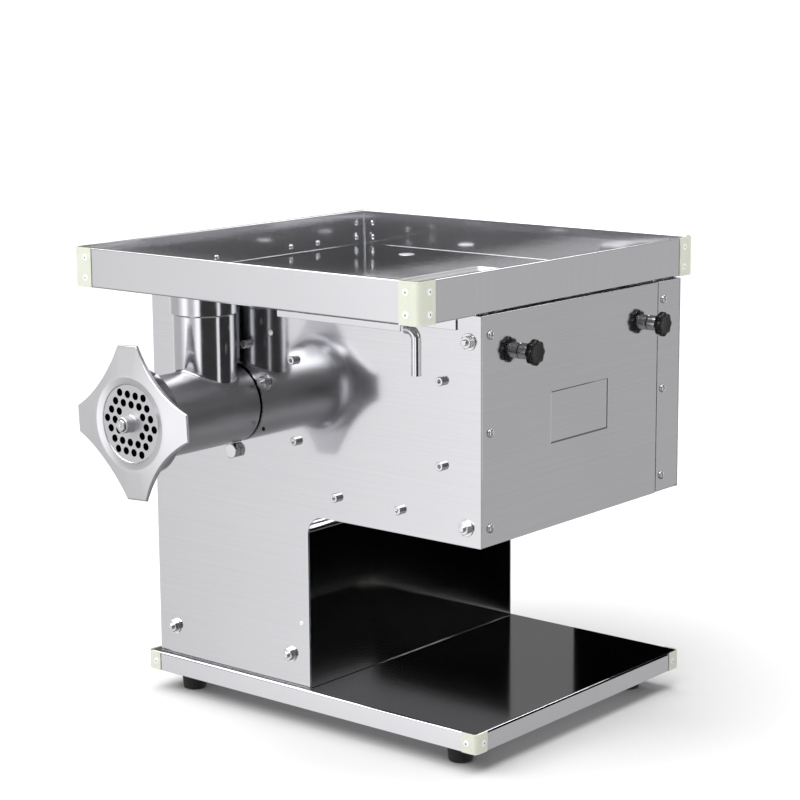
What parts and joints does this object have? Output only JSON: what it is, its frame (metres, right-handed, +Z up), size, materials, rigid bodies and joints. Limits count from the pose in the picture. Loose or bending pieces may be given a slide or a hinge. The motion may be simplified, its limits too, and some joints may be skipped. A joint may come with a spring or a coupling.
{
  "type": "electric meat grinder",
  "caption": "Desktop stainless meat grinder with a lobed ring nut, a shared feed tray, and a drawer-type strip cutter over an open bowl space.",
  "frame": {"origin": "on the ground plane at the centre of the whole object's bounding box", "axes": "+Z up; -Y is the way the grinder head points; +X is the way the cutter drawer slides out"},
  "size_m": [0.4732, 0.5199, 0.4813],
  "materials": {
    "sheet_steel": "satin stainless sheet",
    "cast_steel": "polished casting",
    "turned_steel": "turned and polished",
    "cap_plastic": "moulded, pale green-cream",
    "black_plastic": "moulded, gloss",
    "foot_rubber": "moulded rubber",
    "motor_paint": "grey enamel",
    "belt_rubber": "woven-backed rubber"
  },
  "bodies": {
    "casing": {"base_corner_cap_front_left": "cap_plastic", "base_corner_cap_front_right": "cap_plastic", "base_corner_cap_rear_left": "cap_plastic", "base_corner_cap_rear_right": "cap_plastic", "base_pan": "sheet_steel", "bearing_housing": "cast_steel", "bulkhead": "sheet_steel", "clamp_bolt": "turned_steel", "cord_gland": "black_plastic", "cutter_motor": "motor_paint", "drain_pipe": "turned_steel", "drive_belt": "belt_rubber", "feed_tray": "sheet_steel", "foot_front_left": "foot_rubber", "foot_front_right": "foot_rubber", "foot_rear_left": "foot_rubber", "foot_rear_right": "foot_rubber", "front_panel": "sheet_steel", "gearbox": "cast_steel", "grinder_head": "cast_steel", "grinder_motor": "motor_paint", "hole_plate": "cast_steel", "hopper": "sheet_steel", "left_panel": "sheet_steel", "lock_bar": "sheet_steel", "overhang_floor": "sheet_steel", "rail_front": "sheet_steel", "rail_rear": "sheet_steel", "rear_panel": "sheet_steel", "rear_side_strip": "sheet_steel", "recess_wall": "sheet_steel", "switch_frame_cutter": "black_plastic", "switch_frame_grinder": "black_plastic", "tray_bracket": "sheet_steel", "tray_corner_cap_front_left": "cap_plastic", "tray_corner_cap_front_right": "cap_plastic", "tray_corner_cap_rear_left": "cap_plastic", "tray_corner_cap_rear_right": "cap_plastic"},
    "auger_drive": {"auger": "cast_steel", "cross_knife": "cast_steel", "output_shaft": "turned_steel"},
    "ring_nut": {"ring_nut": "cast_steel"},
    "stub_drive": {"stub_shaft": "turned_steel", "driven_pulley": "cast_steel"},
    "motor_pulley": {"motor_pulley": "cast_steel"},
    "drawer": {"side_cover": "sheet_steel", "inner_plate": "sheet_steel", "outer_plate": "sheet_steel", "tie_rod_front": "turned_steel", "tie_rod_rear": "turned_steel", "comb_front": "sheet_steel", "comb_rear": "sheet_steel"},
    "roller_front": {"knife_roller_front": "turned_steel", "timing_gear_front": "cast_steel"},
    "roller_rear": {"knife_roller_rear": "turned_steel", "timing_gear_rear": "cast_steel"},
    "knob_front": {"knob_front": "black_plastic"},
    "knob_rear": {"knob_rear": "black_plastic"},
    "rocker_grinder": {"rocker_grinder": "black_plastic"},
    "rocker_cutter": {"rocker_cutter": "black_plastic"}
  },
  "joints": [
    {"name": "auger_spin", "type": "hinge", "parent": "casing", "child": "auger_drive", "pos_m": [-0.1028, -0.15, 0.3247], "axis": [0, 1, 0], "continuous": true},
    {"name": "ring_nut_turn", "type": "hinge", "parent": "casing", "child": "ring_nut", "pos_m": [-0.1028, -0.24, 0.3247], "axis": [0, 1, 0], "continuous": true},
    {"name": "drawer_slide", "type": "slide", "parent": "casing", "child": "drawer", "axis": [1, 0, 0], "range_m": [0, 0.24]},
    {"name": "roller_front_spin", "type": "hinge", "parent": "drawer", "child": "roller_front", "pos_m": [0.09, 0.018, 0.3355], "axis": [1, 0, 0], "continuous": true},
    {"name": "roller_rear_spin", "type": "hinge", "parent": "drawer", "child": "roller_rear", "pos_m": [0.09, 0.066, 0.3355], "axis": [1, 0, 0], "continuous": true},
    {"name": "stub_shaft_spin", "type": "hinge", "parent": "casing", "child": "stub_drive", "pos_m": [-0.03, 0.018, 0.3355], "axis": [1, 0, 0], "continuous": true},
    {"name": "motor_pulley_spin", "type": "hinge", "parent": "casing", "child": "motor_pulley", "pos_m": [-0.038, 0.05, 0.125], "axis": [1, 0, 0], "continuous": true},
    {"name": "knob_front_turn", "type": "hinge", "parent": "drawer", "child": "knob_front", "pos_m": [0.22, -0.043, 0.401], "axis": [1, 0, 0], "continuous": true},
    {"name": "knob_rear_turn", "type": "hinge", "parent": "drawer", "child": "knob_rear", "pos_m": [0.22, 0.174, 0.401], "axis": [1, 0, 0], "continuous": true},
    {"name": "rocker_grinder_tilt", "type": "hinge", "parent": "casing", "child": "rocker_grinder", "pos_m": [-0.216, -0.055, 0.395], "axis": [0, 1, 0], "range_deg": [-8, 8]},
    {"name": "rocker_cutter_tilt", "type": "hinge", "parent": "casing", "child": "rocker_cutter", "pos_m": [-0.216, -0.055, 0.345], "axis": [0, 1, 0], "range_deg": [-8, 8]}
  ],
  "couplings": [
    {"joint": "roller_rear_spin", "follows": "roller_front_spin", "ratio": -1},
    {"joint": "stub_shaft_spin", "follows": "roller_front_spin", "ratio": 1},
    {"joint": "motor_pulley_spin", "follows": "roller_front_spin", "ratio": 1.889}
  ]
}
